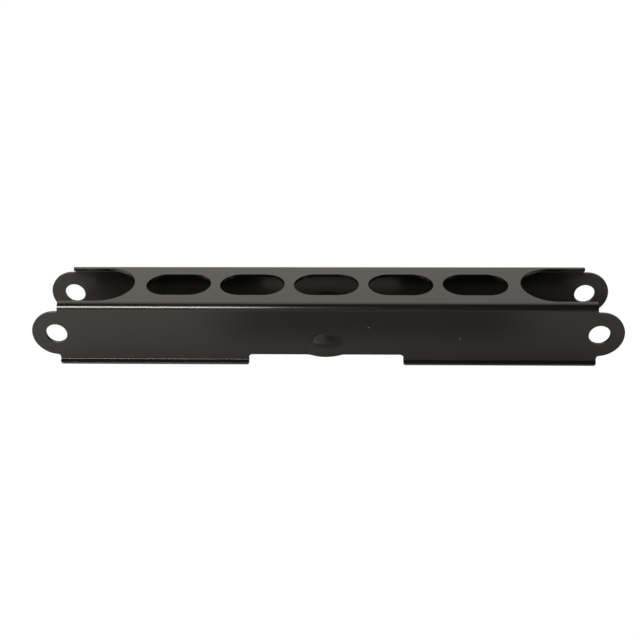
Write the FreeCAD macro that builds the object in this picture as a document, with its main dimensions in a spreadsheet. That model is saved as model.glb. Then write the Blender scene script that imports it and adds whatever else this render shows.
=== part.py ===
import FreeCAD, Part
import math
import os
import Sketcher

# Trailing arm of a car's rear suspension: one pressed sheet-steel channel, open at the bottom.
# X runs along the arm, Y across it and Z up, with z = 0 at the underside of the lips.

NODE = "trailing_arm"

# name, value in millimetres (the slope in degrees), meaning
SIZES = [
    ("hole_spacing", 330.0, "distance between the two bolt axes"),
    ("hole_diameter", 13.0, "bolt hole in each ear"),
    ("hole_height", 21.1, "bolt axis above the underside of the lips"),
    ("ear_radius", 15.0, "round end of each wall, about the bolt axis"),
    ("ear_top_fillet", 1.5, "corner between the ear and the end of the web"),
    ("ear_lip_fillet", 1.6, "corner between the ear and the end of the lip"),
    ("outer_width", 52.0, "across the outer faces of the two walls"),
    ("arm_height", 41.3, "underside of the lips to the top of the web"),
    ("sheet", 2.0, "sheet thickness"),
    ("inner_bend", 2.5, "inside radius of the bend between web and wall"),
    ("lip_bend", 0.5, "inside radius of the sharper fold between wall and lip"),
    ("lip_width", 2.5, "how far each lip stands out past its wall"),
    ("lip_slope", 27.0, "degrees that the lips fall towards their tips"),
    ("lip_corner", 1.3, "rounding of the lips' corners, seen from above"),
    ("web_end", 2.4, "the web stops this far short of the bolt axis"),
    ("lip_end", 0.3, "the lips stop this far short of the bolt axis"),
    ("end_cut_radius", 20.5, "half width and round bottom of the cut at each end of the web"),
    ("end_cut_inset", 25.0, "centre of that round bottom, inboard of the bolt axis"),
    ("slot_length", 40.1, "lightening slot, end to end"),
    ("slot_width", 26.1, "lightening slot, across"),
    ("slot_pitch", 45.9, "from one slot to the next"),
    ("slot_count", 5, "number of lightening slots"),
    ("notch_length", 95.0, "gap in the lips at mid length"),
    ("notch_height", 6.5, "free edge of the wall inside that gap"),
    ("notch_corner", 2.2, "rounded upper corners of the gap"),
    ("bead_half_width", 12.0, "bead pressed outwards in each wall, centre to rim"),
    ("bead_depth", 2.8, "how far the bead stands out of the wall"),
    ("bead_rim_radius", 7.5, "hollow blend from the wall into the bead"),
    ("bead_run", 5.0, "straight stretch of the bead above the free edge"),
    ("cut_margin", 6.0, "how far cutting outlines reach past the sheet"),
]

START, END, CENTRE = 1, 2, 3
ORIGIN = (-1, 1)
AXIS_ACROSS, AXIS_UP = -1, -2


def make_sheet(doc):
    """Write every size into a spreadsheet, one named cell each."""
    sheet = doc.addObject("Spreadsheet::Sheet", "Size")
    for row, (name, value, meaning) in enumerate(SIZES, start=1):
        sheet.set("A%d" % row, meaning)
        sheet.set("B%d" % row, str(value))
        sheet.setAlias("B%d" % row, name)
    doc.recompute()
    return sheet


def plane_of(body, role):
    """One of the body's own origin planes, such as XZ_Plane."""
    return [f for f in body.Origin.OriginFeatures if f.Role == role][0]


class Outline:
    """A closed sketch of lines and arcs whose sizes follow the spreadsheet."""

    def __init__(self, body, name, role, lift=None):
        self.sketch = body.newObject("Sketcher::SketchObject", name)
        self.sketch.AttachmentSupport = [(plane_of(body, role), "")]
        self.sketch.MapMode = "FlatFace"
        if lift:
            self.sketch.setExpression("AttachmentOffset.Base.z", lift)

    def line(self, start, end):
        points = [FreeCAD.Vector(p[0], p[1], 0) for p in (start, end)]
        return self.sketch.addGeometry(Part.LineSegment(*points), False)

    def arc(self, centre, radius, first, last):
        """Arc drawn anticlockwise from angle first to angle last, in degrees."""
        middle = FreeCAD.Vector(centre[0], centre[1], 0)
        circle = Part.Circle(middle, FreeCAD.Vector(0, 0, 1), radius)
        span = Part.ArcOfCircle(circle, math.radians(first), math.radians(last))
        return self.sketch.addGeometry(span, False)

    def circle(self, centre, radius):
        middle = FreeCAD.Vector(centre[0], centre[1], 0)
        return self.sketch.addGeometry(Part.Circle(middle, FreeCAD.Vector(0, 0, 1), radius), False)

    def rule(self, kind, *refs):
        return self.sketch.addConstraint(Sketcher.Constraint(kind, *refs))

    def smooth(self, *joins):
        """Each join is (curve, end, curve, end): the two meet there with one tangent."""
        for join in joins:
            self.rule("Tangent", *join)

    def meet(self, *joins):
        for join in joins:
            self.rule("Coincident", *join)

    def level(self, *lines):
        for line in lines:
            self.rule("Horizontal", line)

    def upright(self, *lines):
        for line in lines:
            self.rule("Vertical", line)

    def size(self, name, formula, kind, *refs):
        """A driving dimension bound to a formula of the sheet's values."""
        start = float(self.sketch.evalExpression(formula))
        index = self.rule(kind, *refs, start)
        self.sketch.renameConstraint(index, name)
        self.sketch.setExpression("Constraints." + name, formula)


def draw_section(body, v):
    """Half of the folded sheet seen along the arm: web, wall and lip, with their bends."""
    outer_bend = v.inner_bend + v.sheet
    wall = v.outer_width / 2
    inside = wall - v.sheet
    fold_top = (wall - outer_bend, v.arm_height - outer_bend)
    fall, level = math.sin(math.radians(v.lip_slope)), math.cos(math.radians(v.lip_slope))
    tip = (wall + v.lip_width, v.sheet * level)
    foot = (tip[0] - v.sheet * fall, 0)
    flat = (v.lip_width - v.lip_bend * (1 - fall)) / level
    fold_low = (wall + v.lip_bend, tip[1] + flat * fall + v.lip_bend * level)
    lip_top_start = (tip[0] - flat * level, tip[1] + flat * fall)
    lip_under_start = (foot[0] - flat * level, flat * fall)
    fold_end = 270 - v.lip_slope
    o = Outline(body, "section", "YZ_Plane")
    web_top = o.line((0, v.arm_height), (fold_top[0], v.arm_height))
    bend_out = o.arc(fold_top, outer_bend, 0, 90)
    wall_out = o.line((wall, fold_top[1]), (wall, fold_low[1]))
    fold_out = o.arc(fold_low, v.lip_bend, 180, fold_end)
    lip_top = o.line(lip_top_start, tip)
    lip_tip = o.line(tip, foot)
    lip_under = o.line(foot, lip_under_start)
    fold_in = o.arc(fold_low, v.lip_bend + v.sheet, 180, fold_end)
    wall_in = o.line((inside, fold_low[1]), (inside, fold_top[1]))
    bend_in = o.arc(fold_top, v.inner_bend, 0, 90)
    web_under = o.line((fold_top[0], v.arm_height - v.sheet), (0, v.arm_height - v.sheet))
    middle = o.line((0, v.arm_height - v.sheet), (0, v.arm_height))
    o.smooth((web_top, END, bend_out, END), (bend_out, START, wall_out, START))
    o.smooth((wall_out, END, fold_out, START), (fold_out, END, lip_top, START))
    o.smooth((lip_under, END, fold_in, END), (fold_in, START, wall_in, START))
    o.smooth((wall_in, END, bend_in, START), (bend_in, END, web_under, START))
    o.meet((lip_top, END, lip_tip, START), (lip_tip, END, lip_under, START))
    o.meet((web_under, END, middle, START), (middle, END, web_top, START))
    o.meet((bend_out, CENTRE, bend_in, CENTRE), (fold_out, CENTRE, fold_in, CENTRE))
    o.level(web_top, web_under)
    o.upright(wall_out, wall_in)
    o.rule("Parallel", lip_under, lip_top)
    o.rule("Perpendicular", lip_tip, lip_top)
    o.rule("PointOnObject", web_top, START, AXIS_UP)
    o.rule("PointOnObject", middle, START, AXIS_UP)
    o.rule("PointOnObject", lip_under, START, AXIS_ACROSS)
    o.size("bend_inside", "Size.inner_bend", "Radius", bend_in)
    o.size("bend_outside", "Size.inner_bend + Size.sheet", "Radius", bend_out)
    o.size("fold_inside", "Size.lip_bend", "Radius", fold_out)
    o.size("half_width", "Size.outer_width / 2", "DistanceX", *ORIGIN, wall_out, START)
    o.size("top", "Size.arm_height", "DistanceY", *ORIGIN, web_top, START)
    o.size("lip_reach", "Size.outer_width / 2 + Size.lip_width", "DistanceX", *ORIGIN, lip_tip, START)
    o.size("lip_fall", "Size.sheet * cos(Size.lip_slope * 1 deg)", "DistanceY", *ORIGIN, lip_tip, START)
    return o.sketch


def draw_end_outline(body, v):
    """Everything outside the end of the arm, seen from the side: above, around and below the ear."""
    ear = (v.hole_spacing / 2, v.hole_height)
    web_x = ear[0] - v.web_end
    lip_x = ear[0] - v.lip_end
    far_x = ear[0] + v.ear_radius + v.cut_margin
    top_z = v.arm_height + v.cut_margin
    low_z = -v.cut_margin
    upper = corner_centre(ear, v.ear_radius, web_x, v.ear_top_fillet, 1)
    lower = corner_centre(ear, v.ear_radius, lip_x, v.ear_lip_fillet, -1)
    to_upper = heading(ear, upper)
    to_lower = heading(ear, lower)
    o = Outline(body, "end_outline", "XZ_Plane")
    web_edge = o.line((web_x, top_z), (web_x, upper[1]))
    upper_corner = o.arc(upper, v.ear_top_fillet, 180, to_upper + 180)
    ear_edge = o.arc(ear, v.ear_radius, to_lower, to_upper)
    lower_corner = o.arc(lower, v.ear_lip_fillet, to_lower + 180, 180)
    lip_edge = o.line((lip_x, lower[1]), (lip_x, low_z))
    floor = o.line((lip_x, low_z), (far_x, low_z))
    far = o.line((far_x, low_z), (far_x, top_z))
    roof = o.line((far_x, top_z), (web_x, top_z))
    o.smooth((web_edge, END, upper_corner, START), (upper_corner, END, ear_edge, END))
    o.smooth((ear_edge, START, lower_corner, START), (lower_corner, END, lip_edge, START))
    o.meet((lip_edge, END, floor, START), (floor, END, far, START))
    o.meet((far, END, roof, START), (roof, END, web_edge, START))
    o.upright(web_edge, lip_edge, far)
    o.level(floor, roof)
    o.size("ear", "Size.ear_radius", "Radius", ear_edge)
    o.size("upper_fillet", "Size.ear_top_fillet", "Radius", upper_corner)
    o.size("lower_fillet", "Size.ear_lip_fillet", "Radius", lower_corner)
    o.size("bolt_x", "Size.hole_spacing / 2", "DistanceX", *ORIGIN, ear_edge, CENTRE)
    o.size("bolt_z", "Size.hole_height", "DistanceY", *ORIGIN, ear_edge, CENTRE)
    o.size("web_x", "Size.hole_spacing / 2 - Size.web_end", "DistanceX", *ORIGIN, web_edge, START)
    o.size("lip_x", "Size.hole_spacing / 2 - Size.lip_end", "DistanceX", *ORIGIN, lip_edge, END)
    o.size("far_x", "Size.hole_spacing / 2 + Size.ear_radius + Size.cut_margin",
           "DistanceX", *ORIGIN, far, START)
    o.size("low_z", "Size.cut_margin", "DistanceY", floor, START, *ORIGIN)
    o.size("top_z", "Size.arm_height + Size.cut_margin", "DistanceY", *ORIGIN, roof, START)
    return o.sketch


def corner_centre(ear, ear_radius, edge_x, fillet, side):
    """Centre of a fillet between an upright edge and the outside of the ear."""
    x = edge_x + fillet
    rise = math.sqrt((ear_radius + fillet) ** 2 - (x - ear[0]) ** 2)
    return (x, ear[1] + side * rise)


def heading(start, end):
    """Angle in degrees of the direction from start to end."""
    return math.degrees(math.atan2(end[1] - start[1], end[0] - start[0]))


def draw_bolt_hole(body, v):
    o = Outline(body, "bolt_hole", "XZ_Plane")
    hole = o.circle((v.hole_spacing / 2, v.hole_height), v.hole_diameter / 2)
    o.size("bolt_x", "Size.hole_spacing / 2", "DistanceX", *ORIGIN, hole, CENTRE)
    o.size("bolt_z", "Size.hole_height", "DistanceY", *ORIGIN, hole, CENTRE)
    o.size("bore", "Size.hole_diameter", "Diameter", hole)
    return o.sketch


def draw_end_cut(body, v):
    """The round-bottomed cut in the web, open at the arm's end, seen from above."""
    x = v.hole_spacing / 2 - v.end_cut_inset
    far_x = v.hole_spacing / 2 + v.cut_margin
    r = v.end_cut_radius
    o = Outline(body, "end_cut", "XY_Plane")
    bottom = o.arc((x, 0), r, 90, 270)
    near = o.line((x, -r), (far_x, -r))
    mouth = o.line((far_x, -r), (far_x, r))
    back = o.line((far_x, r), (x, r))
    o.smooth((bottom, END, near, START), (back, END, bottom, START))
    o.meet((near, END, mouth, START), (mouth, END, back, START))
    o.level(near, back)
    o.upright(mouth)
    o.rule("PointOnObject", bottom, CENTRE, AXIS_ACROSS)
    o.size("radius", "Size.end_cut_radius", "Radius", bottom)
    o.size("inset", "Size.hole_spacing / 2 - Size.end_cut_inset", "DistanceX", *ORIGIN, bottom, CENTRE)
    o.size("far_x", "Size.hole_spacing / 2 + Size.cut_margin", "DistanceX", *ORIGIN, near, END)
    return o.sketch


def draw_slot(body, v):
    """The first lightening slot of the row, at its low X end."""
    r = v.slot_width / 2
    half = v.slot_length / 2 - r
    x = -v.slot_pitch * (v.slot_count - 1) / 2
    o = Outline(body, "slot", "XY_Plane")
    left = o.arc((x - half, 0), r, 90, 270)
    near = o.line((x - half, -r), (x + half, -r))
    right = o.arc((x + half, 0), r, 270, 450)
    back = o.line((x + half, r), (x - half, r))
    o.smooth((left, END, near, START), (near, END, right, START))
    o.smooth((right, END, back, START), (back, END, left, START))
    o.level(near)
    o.rule("Equal", left, right)
    o.rule("PointOnObject", left, CENTRE, AXIS_ACROSS)
    o.size("radius", "Size.slot_width / 2", "Radius", left)
    o.size("straight", "Size.slot_length - Size.slot_width", "DistanceX", left, CENTRE, right, CENTRE)
    o.size("first", "Size.slot_pitch * (Size.slot_count - 1) / 2 + (Size.slot_length - Size.slot_width) / 2",
           "DistanceX", left, CENTRE, *ORIGIN)
    return o.sketch


def draw_notch(body, v):
    """The gap in the lips at mid length, with rounded upper corners, seen from the side."""
    x = v.notch_length / 2
    r = v.notch_corner
    top = v.notch_height
    low = -v.cut_margin
    o = Outline(body, "notch", "XZ_Plane")
    edge = o.line((-x + r, top), (x - r, top))
    right_corner = o.arc((x - r, top - r), r, 0, 90)
    right = o.line((x, top - r), (x, low))
    floor = o.line((x, low), (-x, low))
    left = o.line((-x, low), (-x, top - r))
    left_corner = o.arc((-x + r, top - r), r, 90, 180)
    o.smooth((edge, END, right_corner, END), (right_corner, START, right, START))
    o.smooth((left, END, left_corner, END), (left_corner, START, edge, START))
    o.meet((right, END, floor, START), (floor, END, left, START))
    o.level(edge, floor)
    o.upright(right, left)
    o.rule("Equal", left_corner, right_corner)
    o.size("corner", "Size.notch_corner", "Radius", right_corner)
    o.size("right_x", "Size.notch_length / 2", "DistanceX", *ORIGIN, right, END)
    o.size("left_x", "Size.notch_length / 2", "DistanceX", left, START, *ORIGIN)
    o.size("height", "Size.notch_height", "DistanceY", *ORIGIN, edge, START)
    o.size("low_z", "Size.cut_margin", "DistanceY", floor, END, *ORIGIN)
    return o.sketch


def draw_bead_window(body, v):
    """The stretch of wall that the bead takes up, seen from the side."""
    r = v.bead_half_width
    z = v.notch_height + v.bead_run
    o = Outline(body, "bead_window", "XZ_Plane")
    floor = o.line((-r, 0), (r, 0))
    right = o.line((r, 0), (r, z))
    crown = o.arc((0, z), r, 0, 180)
    left = o.line((-r, z), (-r, 0))
    o.smooth((right, END, crown, START), (crown, END, left, START))
    o.meet((left, END, floor, START), (floor, END, right, START))
    o.level(floor)
    o.upright(right, left)
    o.rule("PointOnObject", crown, CENTRE, AXIS_UP)
    o.rule("PointOnObject", floor, START, AXIS_ACROSS)
    o.size("rim", "Size.bead_half_width", "Radius", crown)
    o.size("rise", "Size.notch_height + Size.bead_run", "DistanceY", *ORIGIN, crown, CENTRE)
    return o.sketch


CROWN_RADIUS = ("(Size.bead_half_width * Size.bead_half_width + Size.bead_depth * Size.bead_depth)"
                " / (2 * Size.bead_depth) - Size.bead_rim_radius")
BEAD_TOP = "Size.notch_height + Size.bead_run"


def bead_shape(v):
    """Centres, radii and meeting angle of the rim and crown arcs of the bead's section."""
    w, d, rim = v.bead_half_width, v.bead_depth, v.bead_rim_radius
    crown = (w * w + d * d) / (2 * d) - rim
    wall = -v.outer_width / 2
    rim_centre = (w, wall - rim)
    crown_centre = (0, wall - d + crown)
    return rim_centre, crown_centre, crown, heading(crown_centre, rim_centre)


def draw_bead_run(body, v):
    """Section of the bead through both flanks, the sheet everywhere of one thickness."""
    (x, y), crown_at, crown, lean = bead_shape(v)
    rim, sheet, wall = v.bead_rim_radius, v.sheet, -v.outer_width / 2
    left_lean = 180 - lean
    o = Outline(body, "bead_run_section", "XY_Plane")
    left_out = o.arc((-x, y), rim, left_lean + 180, 450)
    crown_out = o.arc(crown_at, crown, left_lean, lean)
    right_out = o.arc((x, y), rim, 90, lean + 180)
    right_end = o.line((x, wall), (x, wall + sheet))
    right_in = o.arc((x, y), rim + sheet, 90, lean + 180)
    crown_in = o.arc(crown_at, crown - sheet, left_lean, lean)
    left_in = o.arc((-x, y), rim + sheet, left_lean + 180, 450)
    left_end = o.line((-x, wall + sheet), (-x, wall))
    o.smooth((left_out, START, crown_out, START), (crown_out, END, right_out, END))
    o.smooth((right_in, END, crown_in, END), (crown_in, START, left_in, START))
    o.meet((right_out, START, right_end, START), (right_end, END, right_in, START))
    o.meet((left_in, END, left_end, START), (left_end, END, left_out, END))
    o.meet((left_out, CENTRE, left_in, CENTRE), (right_out, CENTRE, right_in, CENTRE))
    o.meet((crown_out, CENTRE, crown_in, CENTRE))
    o.upright(right_end, left_end)
    o.rule("Vertical", right_out, CENTRE, right_end, START)
    o.rule("Vertical", left_out, CENTRE, left_end, END)
    o.size("right_x", "Size.bead_half_width", "DistanceX", *ORIGIN, right_end, START)
    o.size("left_x", "Size.bead_half_width", "DistanceX", left_end, END, *ORIGIN)
    o.size("right_y", "Size.outer_width / 2", "DistanceY", right_end, START, *ORIGIN)
    o.size("left_y", "Size.outer_width / 2", "DistanceY", left_end, END, *ORIGIN)
    o.size("rim_right", "Size.bead_rim_radius", "Radius", right_out)
    o.size("rim_left", "Size.bead_rim_radius", "Radius", left_out)
    o.size("crown", CROWN_RADIUS, "Radius", crown_out)
    o.size("thickness", "Size.sheet", "DistanceY", right_end, START, right_end, END)
    return o.sketch


def draw_bead_dome(body, v):
    """Half of the same section, to be turned about the bead's axis for its round top."""
    (x, y), crown_at, crown, lean = bead_shape(v)
    rim, sheet, wall = v.bead_rim_radius, v.sheet, -v.outer_width / 2
    nose = wall - v.bead_depth
    o = Outline(body, "bead_dome_section", "XY_Plane", lift=BEAD_TOP)
    crown_out = o.arc(crown_at, crown, 270, lean + 360)
    rim_out = o.arc((x, y), rim, 90, lean + 180 + 360)
    end = o.line((x, wall), (x, wall + sheet))
    rim_in = o.arc((x, y), rim + sheet, 90, lean + 180 + 360)
    crown_in = o.arc(crown_at, crown - sheet, 270, lean + 360)
    axis = o.line((0, nose + sheet), (0, nose))
    o.smooth((crown_out, END, rim_out, END), (rim_in, END, crown_in, END))
    o.meet((rim_out, START, end, START), (end, END, rim_in, START))
    o.meet((crown_in, START, axis, START), (axis, END, crown_out, START))
    o.meet((rim_out, CENTRE, rim_in, CENTRE), (crown_out, CENTRE, crown_in, CENTRE))
    o.upright(end, axis)
    o.rule("Vertical", rim_out, CENTRE, end, START)
    o.rule("PointOnObject", axis, START, AXIS_UP)
    o.rule("PointOnObject", crown_out, CENTRE, AXIS_UP)
    o.size("rim_x", "Size.bead_half_width", "DistanceX", *ORIGIN, end, START)
    o.size("rim_y", "Size.outer_width / 2", "DistanceY", end, START, *ORIGIN)
    o.size("rim", "Size.bead_rim_radius", "Radius", rim_out)
    o.size("crown", CROWN_RADIUS, "Radius", crown_out)
    o.size("thickness", "Size.sheet", "DistanceY", end, START, end, END)
    return o.sketch


def volume(body):
    """Recompute the document and give the body's volume."""
    body.Document.recompute()
    return body.Shape.Volume


def both_ways(body, kind, name, sketch):
    """Pad or pocket that runs to both sides of its sketch."""
    feature = body.newObject(kind, name)
    feature.Profile = sketch
    feature.SideType = "Symmetric"
    return feature


def cut_through(body, name, sketch):
    """Pocket through everything on both sides of its sketch."""
    before = volume(body)
    feature = both_ways(body, "PartDesign::Pocket", name, sketch)
    feature.Type = "ThroughAll"
    must_change(body, name, before, -1)
    return feature


def must_change(body, name, before, sign):
    """Stop if a feature did not add (sign 1) or remove (sign -1) material."""
    if sign * (volume(body) - before) <= 0.01:
        raise RuntimeError("%s changed nothing" % name)


def mirror(body, name, role, originals):
    """Repeat features across one of the body's origin planes."""
    before = volume(body)
    feature = body.newObject("PartDesign::Mirrored", name)
    feature.Originals = originals
    feature.MirrorPlane = (plane_of(body, role), [""])
    body.Tip = feature
    if abs(volume(body) - before) <= 0.01:
        raise RuntimeError("%s changed nothing" % name)
    return feature


def fold_channel(body, v):
    """Web, walls and lips: half the section run the length of the arm, then mirrored."""
    channel = both_ways(body, "PartDesign::Pad", "folded_sheet", draw_section(body, v))
    channel.setExpression("Length", "Size.hole_spacing + 2 * Size.ear_radius + 2")
    volume(body)
    mirror(body, "folded_sheet_far_side", "XZ_Plane", [channel])


def press_beads(body, v):
    """A bead in each wall, pushed outwards, open at the free edge and domed at the top."""
    before = volume(body)
    window = body.newObject("PartDesign::Pocket", "bead_room")
    window.Profile = draw_bead_window(body, v)
    window.Type = "ThroughAll"
    window.Reversed = True
    must_change(body, "bead_room", before, -1)
    before = volume(body)
    run = body.newObject("PartDesign::Pad", "bead_run")
    run.Profile = draw_bead_run(body, v)
    run.setExpression("Length", BEAD_TOP)
    must_change(body, "bead_run", before, 1)
    before = volume(body)
    dome = body.newObject("PartDesign::Revolution", "bead_dome")
    sketch = draw_bead_dome(body, v)
    dome.Profile = sketch
    dome.ReferenceAxis = (sketch, ["V_Axis"])
    dome.Angle = 180
    dome.Reversed = True
    must_change(body, "bead_dome", before, 1)
    mirror(body, "beads_far_side", "XZ_Plane", [window, run, dome])


def cut_ends(body, v):
    """Round ears with bolt holes, and the web cut back between them, at both ends."""
    outline = cut_through(body, "end_trim", draw_end_outline(body, v))
    hole = cut_through(body, "ear_hole", draw_bolt_hole(body, v))
    cut = cut_through(body, "web_end_cut", draw_end_cut(body, v))
    mirror(body, "other_end", "YZ_Plane", [outline, hole, cut])


def cut_slots(body, v):
    """The row of lightening slots along the web."""
    first = cut_through(body, "first_slot", draw_slot(body, v))
    before = volume(body)
    row = body.newObject("PartDesign::LinearPattern", "slot_row")
    row.Originals = [first]
    row.Direction = (first.Profile[0], ["H_Axis"])
    row.Mode = "Spacing"
    row.setExpression("Offset", "Size.slot_pitch")
    row.setExpression("Occurrences", "Size.slot_count")
    body.Tip = row
    must_change(body, "slot_row", before, -1)


def round_lip_corners(body, v):
    """Take the sharp corners off the lips at the arm's ends and at the gap."""
    tip = v.outer_width / 2 + v.lip_width
    names = []
    for index, edge in enumerate(body.Shape.Edges, start=1):
        box = edge.BoundBox
        steep = box.ZLength > max(0.5 * v.sheet, box.YLength) and box.XLength < 0.001
        if steep and abs(max(-box.YMin, box.YMax) - tip) < 0.001:
            names.append("Edge%d" % index)
    if len(names) != 8:
        raise RuntimeError("expected 8 lip corners, found %d" % len(names))
    base = body.Tip
    rounding = body.newObject("PartDesign::Fillet", "lip_corners")
    rounding.Base = (base, names)
    rounding.setExpression("Radius", "Size.lip_corner")
    volume(body)


def check(doc, body):
    """Stop if any object failed, or the finished arm is not one valid solid."""
    for item in doc.Objects:
        if "Invalid" in item.State or "Error" in item.State:
            raise RuntimeError("%s failed: %s" % (item.Label, item.State))
    shape = body.Shape
    if shape.isNull() or not shape.isValid() or len(shape.Solids) != 1:
        raise RuntimeError("%s is not one valid solid" % body.Label)


def main():
    doc = FreeCAD.newDocument("TrailingArm")
    sizes = make_sheet(doc)
    body = doc.addObject("PartDesign::Body", NODE)
    body.Label = NODE
    body.Placement = FreeCAD.Placement(FreeCAD.Vector(0, 0, 0), FreeCAD.Rotation())
    fold_channel(body, sizes)
    press_beads(body, sizes)
    cut_through(body, "lip_gap", draw_notch(body, sizes))
    cut_ends(body, sizes)
    cut_slots(body, sizes)
    round_lip_corners(body, sizes)
    doc.recompute()
    check(doc, body)
    os.makedirs("parts", exist_ok=True)
    body.Shape.exportStep("parts/%s.step" % NODE)
    box = body.Shape.BoundBox
    print("%s: %.1f x %.1f x %.1f mm, %.0f mm3" % (NODE, box.XLength, box.YLength, box.ZLength, body.Shape.Volume))


main()
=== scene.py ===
import math

import bmesh
import bpy
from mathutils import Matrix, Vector


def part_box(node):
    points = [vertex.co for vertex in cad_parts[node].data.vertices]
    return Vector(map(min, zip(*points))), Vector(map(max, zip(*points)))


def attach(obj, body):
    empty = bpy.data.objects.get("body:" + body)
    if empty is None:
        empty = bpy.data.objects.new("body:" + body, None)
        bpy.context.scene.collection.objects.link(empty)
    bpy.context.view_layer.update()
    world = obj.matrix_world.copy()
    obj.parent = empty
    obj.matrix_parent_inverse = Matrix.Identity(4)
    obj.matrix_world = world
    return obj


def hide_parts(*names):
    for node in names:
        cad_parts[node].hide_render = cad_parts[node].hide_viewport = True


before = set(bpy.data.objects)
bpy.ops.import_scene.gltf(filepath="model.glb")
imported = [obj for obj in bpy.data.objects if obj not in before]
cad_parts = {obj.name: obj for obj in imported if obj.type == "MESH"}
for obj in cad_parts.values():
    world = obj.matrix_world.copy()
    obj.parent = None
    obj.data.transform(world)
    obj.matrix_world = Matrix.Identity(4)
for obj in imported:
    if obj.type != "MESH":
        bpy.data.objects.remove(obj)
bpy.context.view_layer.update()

bl_info = {
    "name": "Trailing arm",
    "version": (1, 0, 0),
    "blender": (4, 5, 0),
    "location": "3D View > Sidebar > Trailing arm",
    "description": "Models a pressed sheet-steel trailing arm, its black coat and a plain studio for it",
    "category": "Add Mesh",
}

# Everything is in metres. X runs along the arm, Y across it and Z up, with z = 0 under the lips.
NODE = "trailing_arm"
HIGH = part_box(NODE)[1]
MM = 0.001
NEAR = 0.002 * MM
ALONG, ACROSS, UP = (1, 0, 0), (0, 1, 0), (0, 0, 1)

# Steps that each rounded shape is swept in
CROWN_STEPS, RIM_STEPS, BEAD_END_STEPS = 14, 8, 28
BEND_STEPS, FOLD_STEPS, CORNER_STEPS = 24, 12, 10
EAR_STEPS, SLOT_END_STEPS, HOLE_STEPS = 80, 56, 72

# The coat: the widest face that counts as a rounded edge, and the size and rarity of its dust specks
EDGE_BAND = 0.25 * MM
SPECK_SIZE, SPECK_RARITY = 0.028, 0.82

# The stage: brightness of the white sweep in the picture, floor, soft boxes and camera
SWEEP = 1.02
FLOOR_SIZE = 12
FRONT_BOX = {"place": (-0.27, -0.454, 0.46), "aim": (-0.14, 0, 0.03), "size": (0.34, 0.14)}
LEFT_BOX = {"place": (-0.42, -0.44, 0.34), "aim": (-0.12, -0.08, 0), "size": (0.20, 0.14)}
CAMERA_PLACE = (0.01925, -0.56451, 0.35777)
CAMERA_TURN = (58.7975, 0.9264, 1.8330)  # degrees about X, Y and Z


def length(name, value, description):
    """A size property whose default is given in millimetres."""
    return bpy.props.FloatProperty(
        name=name, description=description, default=value * MM, min=0.0, unit="LENGTH", subtype="DISTANCE", precision=5
    )


class ArmSizes(bpy.types.PropertyGroup):
    """Sizes of the pressed arm."""

    height: length("Height", HIGH.z / MM, "Underside of the lips to the top of the web")
    width: length("Width", 52.0, "Across the outer faces of the two walls")
    sheet: length("Sheet", 2.0, "Thickness of the steel sheet")
    bend: length("Inside bend", 2.5, "Inside radius of the bend between web and wall")
    lip_bend: length("Inside lip fold", 0.5, "Inside radius of the sharper fold between wall and lip")
    lip: length("Lip", 2.5, "How far each lip stands out past its wall")
    lip_slope: bpy.props.FloatProperty(
        name="Lip slope", description="How steeply the lips fall towards their tips", default=math.radians(27),
        unit="ROTATION"
    )
    lip_corner: length("Lip corner", 1.3, "Rounding of the lips' corners")
    hole_spacing: length("Hole spacing", 330.0, "Distance between the two bolt axes")
    hole_height: length("Hole height", 21.1, "Bolt axis above the underside of the lips")
    hole: length("Hole", 13.0, "Diameter of the bolt hole in each ear")
    ear: length("Ear", 15.0, "Radius of the round end of each wall")
    ear_top_fillet: length("Upper ear fillet", 1.5, "Corner between the ear and the end of the web")
    ear_lip_fillet: length("Lower ear fillet", 1.6, "Corner between the ear and the end of the lip")
    web_end: length("Web end", 2.4, "The web stops this far short of the bolt axis")
    lip_end: length("Lip end", 0.3, "The lips stop this far short of the bolt axis")
    end_cut: length("End cut", 20.5, "Radius of the round-bottomed cut at each end of the web")
    end_cut_inset: length("End cut inset", 25.0, "Centre of that round bottom, inboard of the bolt axis")
    slot_length: length("Slot length", 40.1, "Lightening slot, end to end")
    slot_width: length("Slot width", 26.1, "Lightening slot, across")
    slot_pitch: length("Slot pitch", 45.9, "From one slot to the next")
    slot_count: bpy.props.IntProperty(name="Slots", description="Number of lightening slots", default=5, min=1)
    gap_length: length("Lip gap", 95.0, "Gap in the lips at mid length")
    gap_height: length("Gap height", 6.5, "Free edge of the wall inside that gap")
    gap_corner: length("Gap corner", 2.2, "Rounded upper corners of the gap")
    bead: length("Bead half width", 12.0, "Bead pressed outwards in each wall, centre to rim")
    bead_depth: length("Bead depth", 2.8, "How far the bead stands out of the wall")
    bead_rim: length("Bead rim", 7.5, "Hollow blend from the wall into the bead")
    bead_run: length("Bead run", 5.0, "Straight stretch of the bead above the free edge")
    soft_edge: length("Edge rounding", 0.15, "Rounding that the coat gives to every cut edge")


class CoatLook(bpy.types.PropertyGroup):
    """Colours and surface of the black coat."""

    colour: bpy.props.FloatVectorProperty(
        name="Coat", description="Colour of the coat", default=(0.0026, 0.0025, 0.0023), size=3, min=0, max=1,
        subtype="COLOR"
    )
    worn: bpy.props.FloatVectorProperty(
        name="Thin coat", description="Colour where the coat is thin, on cut edges", default=(0.016, 0.0155, 0.0145),
        size=3, min=0, max=1, subtype="COLOR"
    )
    dust: bpy.props.FloatVectorProperty(
        name="Dust", description="Colour of the few specks of dust", default=(0.35, 0.34, 0.32), size=3, min=0, max=1,
        subtype="COLOR"
    )
    roughness: bpy.props.FloatProperty(
        name="Roughness", description="Roughness of the coat", default=0.21, min=0, max=1, subtype="FACTOR"
    )
    peel: length("Orange peel", 1.2, "Size of the coat's fine unevenness")


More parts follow.
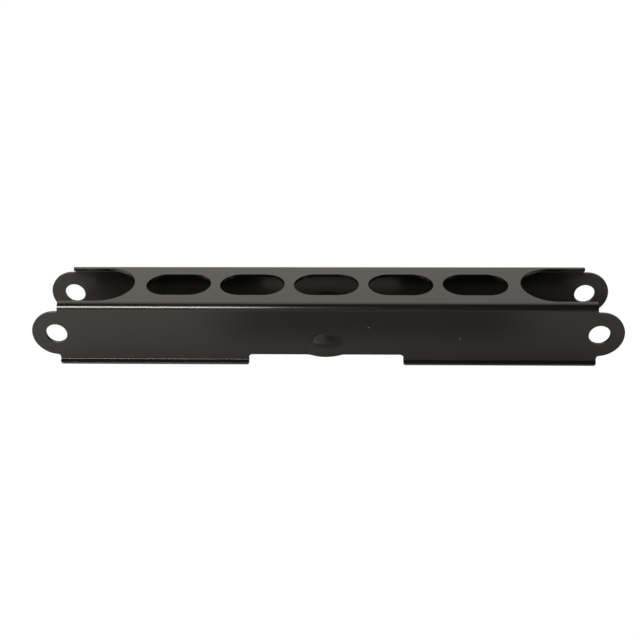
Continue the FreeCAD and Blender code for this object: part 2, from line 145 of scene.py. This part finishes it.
class StageLook(bpy.types.PropertyGroup):
    """Floor, lights and camera."""

    floor: bpy.props.FloatVectorProperty(
        name="Floor", description="Colour of the floor", default=(0.84, 0.84, 0.84), size=3, min=0, max=1,
        subtype="COLOR"
    )
    # painted shade: the floor is made darker in front of the arm's middle, and the camera sees the floor white, so
    # this only paints a darker reflection into the middle of the arm's front wall
    shade: bpy.props.FloatProperty(
        name="Shade", description="How much greyer the floor is in front of the arm's middle", default=0.6,
        min=0, max=1, subtype="FACTOR"
    )
    backdrop: bpy.props.FloatProperty(
        name="Backdrop", description="Brightness of the pale wall behind the arm", default=1.5, min=0
    )
    room: bpy.props.FloatProperty(
        name="Room", description="Brightness of the dim rest of the room", default=0.16, min=0
    )
    front: bpy.props.FloatProperty(
        name="Front", description="Brightness low down in front of the arm", default=0.6, min=0
    )
    light: bpy.props.FloatVectorProperty(
        name="Light", description="Colour of the light", default=(1.0, 0.95, 0.86), size=3, min=0, max=1,
        subtype="COLOR"
    )
    soft_box: bpy.props.FloatProperty(
        name="Soft box", description="Power of the soft box in front", default=3.8, min=0, unit="POWER"
    )
    side_box: bpy.props.FloatProperty(
        name="Side box", description="Power of the lower soft box on the left", default=1.0, min=0, unit="POWER"
    )
    lens: bpy.props.FloatProperty(
        name="Lens", description="Focal length of the camera in millimetres", default=58.856, min=1
    )


# Modelling tools


def deselect_everything():
    """Leave edit mode and select nothing."""
    if bpy.context.mode != "OBJECT":
        bpy.ops.object.mode_set(mode="OBJECT")
    bpy.ops.object.select_all(action="DESELECT")


def pick(piece):
    """Make one object the only selected and the active one."""
    deselect_everything()
    piece.select_set(True)
    bpy.context.view_layer.objects.active = piece


def start_at(name, place):
    """A new mesh of a single point, in edit mode: a small plane drawn together to its middle."""
    deselect_everything()
    bpy.ops.mesh.primitive_plane_add(size=MM, location=(0, 0, 0))
    piece = bpy.context.object
    piece.name = piece.data.name = name
    bpy.ops.object.mode_set(mode="EDIT")
    bpy.ops.mesh.select_mode(type="VERT")
    bpy.ops.mesh.select_all(action="SELECT")
    bpy.ops.mesh.merge(type="CENTER")
    bpy.ops.transform.translate(value=place)
    return piece


def run(x=0.0, y=0.0, z=0.0):
    """Extrude what is selected in a straight line."""
    bpy.ops.mesh.extrude_region_move(TRANSFORM_OT_translate={"value": (x, y, z)})


def turn(degrees, centre, axis, steps):
    """Sweep what is selected round an axis, anticlockwise as seen from the axis's tip."""
    bpy.ops.mesh.spin(steps=steps, angle=-math.radians(degrees), center=centre, axis=axis)


def choose(test, kind="VERT"):
    """Select the vertices, or the edges or faces with kind, that pass a test of their middle."""
    bpy.ops.mesh.select_mode(type=kind)
    bpy.ops.mesh.select_all(action="DESELECT")
    mesh = bpy.context.object.data
    work = bmesh.from_edit_mesh(mesh)
    parts = {"VERT": work.verts, "EDGE": work.edges, "FACE": work.faces}[kind]
    found = 0
    for part in parts:
        if test(part):
            part.select_set(True)
            found += 1
    work.select_flush_mode()
    bmesh.update_edit_mesh(mesh, loop_triangles=False, destructive=False)
    if not found:
        raise RuntimeError("nothing to select on %s" % bpy.context.object.name)
    return found


def at(value, place):
    """Whether two lengths are the same."""
    return abs(value - place) < NEAR


def weld():
    """Merge points that lie on each other."""
    bpy.ops.mesh.select_mode(type="VERT")
    bpy.ops.mesh.select_all(action="SELECT")
    bpy.ops.mesh.remove_doubles(threshold=NEAR)


def close_and_extrude(x=0.0, y=0.0, z=0.0):
    """Turn a drawn loop into a face and extrude it into a solid."""
    weld()
    bpy.ops.mesh.edge_face_add()
    run(x, y, z)
    bpy.ops.mesh.select_all(action="SELECT")
    bpy.ops.mesh.normals_make_consistent(inside=False)
    bpy.ops.object.mode_set(mode="OBJECT")


def finish_modifier(piece, kind, **values):
    """Add a modifier with these values and apply it."""
    pick(piece)
    modifier = piece.modifiers.new(kind.lower(), kind)
    for name, value in values.items():
        setattr(modifier, name, value)
    bpy.ops.object.modifier_apply(modifier=modifier.name)


def cut(piece, tool, operation="DIFFERENCE"):
    """Cut a piece with a solid tool, and take the tool away."""
    finish_modifier(piece, "BOOLEAN", object=tool, operation=operation, solver="EXACT")
    bpy.data.objects.remove(tool, do_unlink=True)
    if not piece.data.polygons:
        raise RuntimeError("cutting left nothing of %s" % piece.name)


# The pressed arm


def bead_section(s):
    """Centres, radii and lean of the two arcs of the bead's section, at mid thickness."""
    wall = -s.width / 2
    crown = (s.bead ** 2 + s.bead_depth ** 2) / (2 * s.bead_depth) - s.bead_rim
    rim_centre = (s.bead, wall - s.bead_rim)
    crown_centre = (0.0, wall - s.bead_depth + crown)
    lean = math.degrees(math.atan2(rim_centre[0], crown_centre[1] - rim_centre[1]))
    return rim_centre, s.bead_rim + s.sheet / 2, crown_centre, crown - s.sheet / 2, lean


def fold_quarter(s):
    """A quarter of the folded sheet at mid thickness: bead, wall, bend, web, fold and lip."""
    rim_centre, _, crown_centre, crown, lean = bead_section(s)
    half_sheet = s.sheet / 2
    mid_bend = s.bend + half_sheet
    mid_fold = s.lip_bend + half_sheet
    wall = half_sheet - s.width / 2
    bead_top = s.gap_height + s.bead_run
    fall, level = math.sin(s.lip_slope), math.cos(s.lip_slope)
    flat = (s.lip - s.lip_bend * (1 - fall)) / level
    fold_z = (s.sheet + s.lip_bend) * level + flat * fall
    bend_z = s.height - s.bend - s.sheet
    far = s.hole_spacing / 2 + s.ear + MM

    arm = start_at("pressed_arm", (0, crown_centre[1] - crown, bead_top))
    turn(lean, (*crown_centre, bead_top), UP, CROWN_STEPS)
    turn(-lean, (*rim_centre, bead_top), UP, RIM_STEPS)
    choose(lambda v: True)
    turn(-90, (0, wall, bead_top), ACROSS, BEAD_END_STEPS)
    weld()
    choose(lambda v: at(v.co.z, bead_top))
    run(z=fold_z - bead_top)
    choose(lambda v: at(v.co.z, fold_z) and at(v.co.x, s.bead))
    run(x=far - s.bead)
    run(z=bend_z - fold_z)
    run(x=-far)
    choose(lambda v: at(v.co.x, 0) and at(v.co.y, wall))
    bpy.ops.mesh.edge_face_add()
    choose(lambda v: at(v.co.y, wall))
    bpy.ops.mesh.edge_face_add()
    choose(lambda v: at(v.co.z, bend_z))
    turn(-90, (0, wall + mid_bend, bend_z), ALONG, BEND_STEPS)
    run(y=-wall - mid_bend)
    choose(lambda v: at(v.co.z, fold_z) and v.co.x > s.bead - NEAR)
    turn(math.degrees(s.lip_slope) - 90, (0, wall - mid_fold, fold_z), ALONG, FOLD_STEPS)
    run(y=-flat * level, z=-flat * fall)
    weld()
    bpy.ops.object.mode_set(mode="OBJECT")
    return arm


def thicken(arm, s):
    """Mirror the quarter both ways and give the sheet its thickness."""
    finish_modifier(arm, "MIRROR", use_axis=(True, True, False), merge_threshold=NEAR)
    bpy.ops.object.mode_set(mode="EDIT")
    weld()
    bpy.ops.mesh.normals_make_consistent(inside=False)
    bpy.ops.object.mode_set(mode="OBJECT")
    finish_modifier(arm, "SOLIDIFY", thickness=s.sheet, offset=0, use_even_offset=True)
    bpy.ops.object.mode_set(mode="EDIT")
    bpy.ops.mesh.select_all(action="SELECT")
    bpy.ops.mesh.normals_make_consistent(inside=False)
    bpy.ops.object.mode_set(mode="OBJECT")


def side_outline(s):
    """The arm's outline seen from the side, as a solid: ears, ends of web and lips, and the gap."""
    y = -s.width
    ear = (s.hole_spacing / 2, s.hole_height)
    web_x = ear[0] - s.web_end
    lip_x = ear[0] - s.lip_end
    low, high = -s.sheet * 3, s.height + s.sheet * 3
    upper_x, lower_x = web_x + s.ear_top_fillet, lip_x + s.ear_lip_fillet
    upper_z = ear[1] + math.sqrt((s.ear + s.ear_top_fillet) ** 2 - (upper_x - ear[0]) ** 2)
    lower_z = ear[1] - math.sqrt((s.ear + s.ear_lip_fillet) ** 2 - (lower_x - ear[0]) ** 2)
    to_upper = math.degrees(math.atan2(upper_z - ear[1], upper_x - ear[0]))
    to_lower = math.degrees(math.atan2(lower_z - ear[1], lower_x - ear[0]))
    corner = (s.gap_length / 2 - s.gap_corner, s.gap_height - s.gap_corner)

    outline = start_at("side_outline", (0, y, s.gap_height))
    run(x=corner[0])
    turn(90, (corner[0], y, corner[1]), ACROSS, CORNER_STEPS)
    run(z=low - corner[1])
    run(x=lip_x - s.gap_length / 2)
    run(z=lower_z - low)
    turn(-to_lower, (lower_x, y, lower_z), ACROSS, CORNER_STEPS)
    turn(to_lower - to_upper, (ear[0], y, ear[1]), ACROSS, EAR_STEPS)
    turn(to_upper, (upper_x, y, upper_z), ACROSS, CORNER_STEPS)
    run(z=high - upper_z)
    run(x=-web_x)
    close_and_extrude(y=-2 * y)
    bpy.ops.object.mode_set(mode="EDIT")
    choose(lambda f: at(f.calc_center_median().x, 0), "FACE")
    bpy.ops.mesh.delete(type="FACE")
    bpy.ops.object.mode_set(mode="OBJECT")
    finish_modifier(outline, "MIRROR", use_axis=(True, False, False), merge_threshold=NEAR)
    return outline


def stadium(name, s, middle, straight, radius):
    """A round-ended solid standing through the web."""
    left, right = middle - straight / 2, middle + straight / 2
    low = s.height - 4 * s.sheet
    tool = start_at(name, (left, -radius, low))
    run(x=straight)
    turn(180, (right, 0, low), UP, SLOT_END_STEPS)
    run(x=-straight)
    turn(180, (left, 0, low), UP, SLOT_END_STEPS)
    close_and_extrude(z=8 * s.sheet)
    return tool


def drill(s, x):
    """A round cutter across both ears."""
    deselect_everything()
    bpy.ops.mesh.primitive_cylinder_add(
        vertices=HOLE_STEPS, radius=s.hole / 2, depth=2 * s.width, location=(x, 0, s.hole_height),
        rotation=(math.pi / 2, 0, 0)
    )
    bpy.ops.object.transform_apply(location=True, rotation=True, scale=True)
    return bpy.context.object


def cut_openings(arm, s):
    """Trim the sheet to its outline, then cut slots, end cuts and bolt holes."""
    cut(arm, side_outline(s), "INTERSECT")
    first = -s.slot_pitch * (s.slot_count - 1) / 2
    for index in range(s.slot_count):
        middle = first + index * s.slot_pitch
        cut(arm, stadium("slot", s, middle, s.slot_length - s.slot_width, s.slot_width / 2))
    for side in (-1, 1):
        centre = side * (s.hole_spacing / 2 - s.end_cut_inset)
        reach = s.end_cut_inset + s.ear
        cut(arm, stadium("end_cut", s, centre + side * reach / 2, reach, s.end_cut))
        cut(arm, drill(s, side * s.hole_spacing / 2))


def round_lip_corners(arm, s):
    """Round the lips' corners as seen from above."""
    pick(arm)
    bpy.ops.object.mode_set(mode="EDIT")
    tip = s.width / 2 + s.lip

    def at_corner(edge):
        a, b = (v.co for v in edge.verts)
        steep = at(a.x, b.x) and abs(a.z - b.z) > max(abs(a.y - b.y), s.sheet / 2)
        return steep and at(max(abs(a.y), abs(b.y)), tip) and abs(edge.calc_face_angle(0) - math.pi / 2) < 0.01

    found = choose(at_corner, "EDGE")
    if found != 8:
        raise RuntimeError("expected 8 lip corners, found %d" % found)
    bpy.ops.mesh.bevel(
        offset=s.lip_corner, offset_type="OFFSET", segments=CORNER_STEPS, affect="EDGES", clamp_overlap=False
    )
    bpy.ops.object.mode_set(mode="OBJECT")


def soften_edges(arm, s):
    """Round every cut edge slightly, as the coat does, and shade the bends smooth."""
    finish_modifier(
        arm, "BEVEL", width=s.soft_edge, segments=3, limit_method="ANGLE", angle_limit=math.radians(40),
        use_clamp_overlap=False, miter_outer="MITER_ARC", harden_normals=False
    )
    pick(arm)
    bpy.ops.object.shade_smooth_by_angle(angle=math.radians(40))
    finish_modifier(arm, "WEIGHTED_NORMAL", keep_sharp=True, weight=80, mode="FACE_AREA")


def mark_worn_edges(arm):
    """Write an attribute that is 1 in the middle of every rounded cut edge and 0 elsewhere."""
    work = bmesh.new()
    work.from_mesh(arm.data)
    worn = []
    for point in work.verts:
        narrow = all(2 * f.calc_area() < EDGE_BAND * f.calc_perimeter() for f in point.link_faces)
        bent = max((e.calc_face_angle(0) for e in point.link_edges), default=0)
        worn.append(1.0 if narrow and bent > math.radians(12) else 0.0)
    work.free()
    layer = arm.data.attributes.new("worn_edge", "FLOAT", "POINT")
    layer.data.foreach_set("value", worn)


# Materials


def add_node(tree, kind, place, **values):
    """A shader node at a place in the tree, with its settings and unlinked inputs."""
    made = tree.nodes.new(kind)
    made.location = place
    for name, value in values.items():
        if name in made.inputs:
            made.inputs[name].default_value = value
        else:
            setattr(made, name, value)
    return made


def black_coat(look):
    """Satin black coat on steel: fine peel, soft patches, thin cut edges and a few specks of dust."""
    material = bpy.data.materials.new("black_coated_steel")
    material.use_nodes = True
    tree = material.node_tree
    tree.nodes.clear()
    link = tree.links.new
    place = add_node(tree, "ShaderNodeTexCoord", (-1200, 0))
    out = add_node(tree, "ShaderNodeOutputMaterial", (700, 0))
    coat = add_node(tree, "ShaderNodeBsdfPrincipled", (400, 0), IOR=1.5, Metallic=0.0)
    link(coat.outputs["BSDF"], out.inputs["Surface"])

    patches = add_node(tree, "ShaderNodeTexNoise", (-900, 300), Scale=28.0, Detail=4.0, Roughness=0.55)
    peel = add_node(tree, "ShaderNodeTexNoise", (-900, -300), Scale=1 / look.peel, Detail=2.0, Roughness=0.5)
    grain = add_node(tree, "ShaderNodeTexNoise", (-900, -600), Scale=4200.0, Detail=1.0)
    for texture in (patches, peel, grain):
        link(place.outputs["Object"], texture.inputs["Vector"])

    # colour: soft patches, thin edges, dust
    tone = add_node(tree, "ShaderNodeMapRange", (-650, 450))
    tone.inputs["From Min"].default_value = 0.3
    tone.inputs["From Max"].default_value = 0.7
    tone.inputs["To Min"].default_value = 0.85
    tone.inputs["To Max"].default_value = 1.2
    link(patches.outputs["Fac"], tone.inputs["Value"])
    toned = add_node(tree, "ShaderNodeVectorMath", (-400, 450), operation="SCALE")
    toned.inputs[0].default_value = look.colour
    link(tone.outputs["Result"], toned.inputs["Scale"])
    edge = add_node(tree, "ShaderNodeAttribute", (-900, 50), attribute_name="worn_edge")
    patchy = add_node(tree, "ShaderNodeMath", (-650, 50), operation="MULTIPLY")
    link(edge.outputs["Fac"], patchy.inputs[0])
    link(patches.outputs["Fac"], patchy.inputs[1])
    worn = add_node(tree, "ShaderNodeMix", (-150, 400), data_type="RGBA")
    link(patchy.outputs["Value"], worn.inputs["Factor"])
    link(toned.outputs["Vector"], worn.inputs["A"])
    worn.inputs["B"].default_value = (*look.worn, 1)
    cells = add_node(tree, "ShaderNodeTexVoronoi", (-900, 750), Scale=110.0)
    link(place.outputs["Object"], cells.inputs["Vector"])
    speck = add_node(tree, "ShaderNodeMath", (-650, 850), operation="LESS_THAN")
    link(cells.outputs["Distance"], speck.inputs[0])
    speck.inputs[1].default_value = SPECK_SIZE
    split = add_node(tree, "ShaderNodeSeparateColor", (-650, 700))
    link(cells.outputs["Color"], split.inputs["Color"])
    few = add_node(tree, "ShaderNodeMath", (-400, 700), operation="GREATER_THAN")
    link(split.outputs["Red"], few.inputs[0])
    few.inputs[1].default_value = SPECK_RARITY
    dust = add_node(tree, "ShaderNodeMath", (-150, 750), operation="MULTIPLY")
    link(speck.outputs["Value"], dust.inputs[0])
    link(few.outputs["Value"], dust.inputs[1])
    dusty = add_node(tree, "ShaderNodeMix", (100, 400), data_type="RGBA")
    link(dust.outputs["Value"], dusty.inputs["Factor"])
    link(worn.outputs["Result"], dusty.inputs["A"])
    dusty.inputs["B"].default_value = (*look.dust, 1)
    link(dusty.outputs["Result"], coat.inputs["Base Color"])

    # roughness: patches and grain
    shine = add_node(tree, "ShaderNodeMapRange", (-400, 150))
    shine.inputs["From Min"].default_value = 0.25
    shine.inputs["From Max"].default_value = 0.75
    shine.inputs["To Min"].default_value = look.roughness - 0.04
    shine.inputs["To Max"].default_value = look.roughness + 0.05
    link(patches.outputs["Fac"], shine.inputs["Value"])
    link(shine.outputs["Result"], coat.inputs["Roughness"])

    # bump: peel over fine grain
    fine = add_node(tree, "ShaderNodeBump", (-150, -500), Strength=0.03, Distance=0.00002)
    link(grain.outputs["Fac"], fine.inputs["Height"])
    soft = add_node(tree, "ShaderNodeBump", (100, -300), Strength=0.02, Distance=0.00004)
    link(peel.outputs["Fac"], soft.inputs["Height"])
    link(fine.outputs["Normal"], soft.inputs["Normal"])
    link(soft.outputs["Normal"], coat.inputs["Normal"])
    return material


def fade(tree, place, value, start, end, before, after):
    """A soft step of a value from one level to another."""
    step = add_node(tree, "ShaderNodeMapRange", place, interpolation_type="SMOOTHSTEP")
    for name, level in (("From Min", start), ("From Max", end), ("To Min", before), ("To Max", after)):
        step.inputs[name].default_value = level
    tree.links.new(value, step.inputs["Value"])
    return step.outputs["Result"]


def times(tree, place, first, second):
    """The product of two values."""
    product = add_node(tree, "ShaderNodeMath", place, operation="MULTIPLY")
    tree.links.new(first, product.inputs[0])
    tree.links.new(second, product.inputs[1])
    return product.outputs["Value"]


def floor_paper(look):
    """Plain pale floor with a faint mottling, and painted shade: darker in front of the arm's middle, seen only in the
    arm's gloss as a painted darker reflection on its front wall.
    """
    material = bpy.data.materials.new("floor_paper")
    material.use_nodes = True
    tree = material.node_tree
    paper = tree.nodes["Principled BSDF"]
    place = add_node(tree, "ShaderNodeTexCoord", (-900, 0))
    mottle = add_node(tree, "ShaderNodeTexNoise", (-700, 0), Scale=6.0, Detail=3.0)
    mix = add_node(tree, "ShaderNodeMix", (-400, 0), data_type="RGBA")
    mix.inputs["A"].default_value = (*[c * 0.985 for c in look.floor], 1)
    mix.inputs["B"].default_value = (*look.floor, 1)
    tree.links.new(place.outputs["Object"], mottle.inputs["Vector"])
    tree.links.new(mottle.outputs["Fac"], mix.inputs["Factor"])
    spread = add_node(tree, "ShaderNodeSeparateXYZ", (-700, -400))
    tree.links.new(place.outputs["Object"], spread.inputs["Vector"])
    right, back, _ = spread.outputs
    # painted shade: these masks darken the floor in front of the arm's middle, which the camera never sees, to paint a
    # darker reflection into the arm's front wall
    left_side = fade(tree, (-500, -300), right, -0.100, -0.040, 0.0, look.shade)
    right_side = fade(tree, (-500, -550), right, 0.100, 0.155, 1.0, 0.0)
    front_side = fade(tree, (-500, -800), back, -0.350, -0.200, 0.0, 1.0)
    near_side = fade(tree, (-500, -1050), back, -0.075, -0.038, 1.0, 0.1)
    across = times(tree, (-300, -400), left_side, right_side)
    middle = times(tree, (-100, -450), across, times(tree, (-300, -900), front_side, near_side))
    painted_shade_mix = add_node(tree, "ShaderNodeMix", (-200, 0), data_type="RGBA")
    painted_shade_mix.inputs["B"].default_value = (0, 0, 0, 1)
    tree.links.new(middle, painted_shade_mix.inputs["Factor"])
    tree.links.new(mix.outputs["Result"], painted_shade_mix.inputs["A"])
    tree.links.new(painted_shade_mix.outputs["Result"], paper.inputs["Base Color"])
    paper.inputs["Roughness"].default_value = 0.85
    paper.inputs["Specular IOR Level"].default_value = 0.2
    # the camera sees the floor as a white sweep, whatever light falls on it
    seen = add_node(tree, "ShaderNodeLightPath", (-400, 300))
    white = add_node(tree, "ShaderNodeEmission", (0, -500), Strength=SWEEP)
    sweep = add_node(tree, "ShaderNodeMixShader", (300, 0))
    tree.links.new(seen.outputs["Is Camera Ray"], sweep.inputs[0])
    tree.links.new(paper.outputs["BSDF"], sweep.inputs[1])
    tree.links.new(white.outputs["Emission"], sweep.inputs[2])
    tree.links.new(sweep.outputs["Shader"], tree.nodes["Material Output"].inputs["Surface"])
    return material


# The stage


def make_floor(look):
    """A flat sheet of paper for the arm to lie on."""
    deselect_everything()
    bpy.ops.mesh.primitive_plane_add(size=FLOOR_SIZE, location=(0, 0, 0))
    floor = bpy.context.object
    floor.name = floor.data.name = "floor"
    floor.data.materials.append(floor_paper(look))


def pale_room(look):
    """A dim room with one pale wall: bright towards +Y, fading to the right, and paler low down in front."""
    world = bpy.data.worlds.new("pale_room")
    bpy.context.scene.world = world
    world.use_nodes = True
    tree = world.node_tree
    tree.nodes.clear()
    place = add_node(tree, "ShaderNodeTexCoord", (-1100, 0))
    split = add_node(tree, "ShaderNodeSeparateXYZ", (-900, 0))
    tree.links.new(place.outputs["Generated"], split.inputs["Vector"])
    right, back, up = split.outputs

    wall = fade(tree, (-700, 400), back, 0.05, 0.42, look.room, look.backdrop)
    high = fade(tree, (-700, 100), up, 0.2, 0.85, 0.72, 1.0)
    side = fade(tree, (-700, -200), right, -0.1, 1.0, 1.0, 0.25)
    left = fade(tree, (-700, -350), right, -0.85, -0.4, 0.3, 1.0)
    front = fade(tree, (-700, -500), up, 0.3, 0.5, look.front, 0.0)
    ahead = fade(tree, (-700, -800), back, -0.6, -0.1, 1.0, 0.0)
    across = fade(tree, (-700, -1100), right, -0.3, 0.2, 1.0, 0.3)

    behind = times(tree, (-450, 250), wall, high)
    aside = times(tree, (-450, -250), side, left)
    low = times(tree, (-450, -600), front, ahead)
    total = add_node(tree, "ShaderNodeMath", (-50, 0), operation="ADD")
    tree.links.new(times(tree, (-250, 150), behind, aside), total.inputs[0])
    tree.links.new(times(tree, (-250, -500), low, across), total.inputs[1])
    shade = add_node(tree, "ShaderNodeBackground", (150, 0), Color=(*look.light, 1.0))
    tree.links.new(total.outputs[0], shade.inputs["Strength"])
    # the camera sees the room as the same white as the floor
    seen = add_node(tree, "ShaderNodeLightPath", (150, 400))
    white = add_node(tree, "ShaderNodeBackground", (150, -200), Color=(1, 1, 1, 1), Strength=SWEEP)
    sweep = add_node(tree, "ShaderNodeMixShader", (350, 0))
    out = add_node(tree, "ShaderNodeOutputWorld", (550, 0))
    tree.links.new(seen.outputs["Is Camera Ray"], sweep.inputs[0])
    tree.links.new(shade.outputs["Background"], sweep.inputs[1])
    tree.links.new(white.outputs["Background"], sweep.inputs[2])
    tree.links.new(sweep.outputs["Shader"], out.inputs["Surface"])


def soft_box(name, place, aim, size, power, colour):
    """A rectangular soft light that faces a point, itself out of the picture."""
    data = bpy.data.lights.new(name, "AREA")
    data.shape = "RECTANGLE"
    data.size, data.size_y = size
    data.energy = power
    data.color = colour
    box = bpy.data.objects.new(name, data)
    box.visible_camera = False
    box.location = place
    box.rotation_euler = (Vector(aim) - Vector(place)).to_track_quat("-Z", "Y").to_euler()
    bpy.context.collection.objects.link(box)


def make_camera(look):
    """The camera, from the front and above."""
    data = bpy.data.cameras.new("camera")
    data.lens = look.lens
    data.sensor_width = 36
    data.clip_start = 0.01
    camera = bpy.data.objects.new("camera", data)
    camera.location = CAMERA_PLACE
    camera.rotation_euler = [math.radians(angle) for angle in CAMERA_TURN]
    bpy.context.collection.objects.link(camera)
    bpy.context.scene.camera = camera


# Operators and panel


class TRAILINGARM_OT_pressed_arm(bpy.types.Operator):
    """Model the pressed sheet-steel arm"""

    bl_idname = "trailingarm.pressed_arm"
    bl_label = "Pressed arm"
    bl_options = {"REGISTER", "UNDO"}

    def execute(self, context):
        sizes = context.scene.arm_sizes
        arm = fold_quarter(sizes)
        thicken(arm, sizes)
        cut_openings(arm, sizes)
        round_lip_corners(arm, sizes)
        soften_edges(arm, sizes)
        mark_worn_edges(arm)
        arm.data.materials.append(black_coat(context.scene.coat_look))
        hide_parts(NODE)
        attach(arm, "root")
        return {"FINISHED"}


class TRAILINGARM_OT_stage(bpy.types.Operator):
    """Set up the floor, the room, the lights and the camera"""

    bl_idname = "trailingarm.stage"
    bl_label = "Stage"
    bl_options = {"REGISTER", "UNDO"}

    def execute(self, context):
        look = context.scene.stage_look
        make_floor(look)
        pale_room(look)
        soft_box("soft_box_front", power=look.soft_box, colour=look.light, **FRONT_BOX)
        soft_box("soft_box_left", power=look.side_box, colour=look.light, **LEFT_BOX)
        make_camera(look)
        context.scene.view_settings.view_transform = "Standard"
        return {"FINISHED"}


class TRAILINGARM_PT_panel(bpy.types.Panel):
    """Sizes, colours and operators of the trailing arm"""

    bl_label = "Trailing arm"
    bl_space_type = "VIEW_3D"
    bl_region_type = "UI"
    bl_category = "Trailing arm"

    def draw(self, context):
        for title, group, operator in (
            ("Arm", context.scene.arm_sizes, TRAILINGARM_OT_pressed_arm),
            ("Coat", context.scene.coat_look, None),
            ("Stage", context.scene.stage_look, TRAILINGARM_OT_stage),
        ):
            box = self.layout.box()
            box.label(text=title)
            for name in group.__annotations__:
                box.prop(group, name)
            if operator:
                box.operator(operator.bl_idname)


CLASSES = (ArmSizes, CoatLook, StageLook, TRAILINGARM_OT_pressed_arm, TRAILINGARM_OT_stage, TRAILINGARM_PT_panel)


def register():
    for cls in CLASSES:
        bpy.utils.register_class(cls)
    bpy.types.Scene.arm_sizes = bpy.props.PointerProperty(type=ArmSizes)
    bpy.types.Scene.coat_look = bpy.props.PointerProperty(type=CoatLook)
    bpy.types.Scene.stage_look = bpy.props.PointerProperty(type=StageLook)


def unregister():
    del bpy.types.Scene.stage_look, bpy.types.Scene.coat_look, bpy.types.Scene.arm_sizes
    for cls in reversed(CLASSES):
        bpy.utils.unregister_class(cls)


def main():
    register()
    bpy.ops.trailingarm.pressed_arm()
    bpy.ops.trailingarm.stage()


if __name__ == "__main__":
    main()
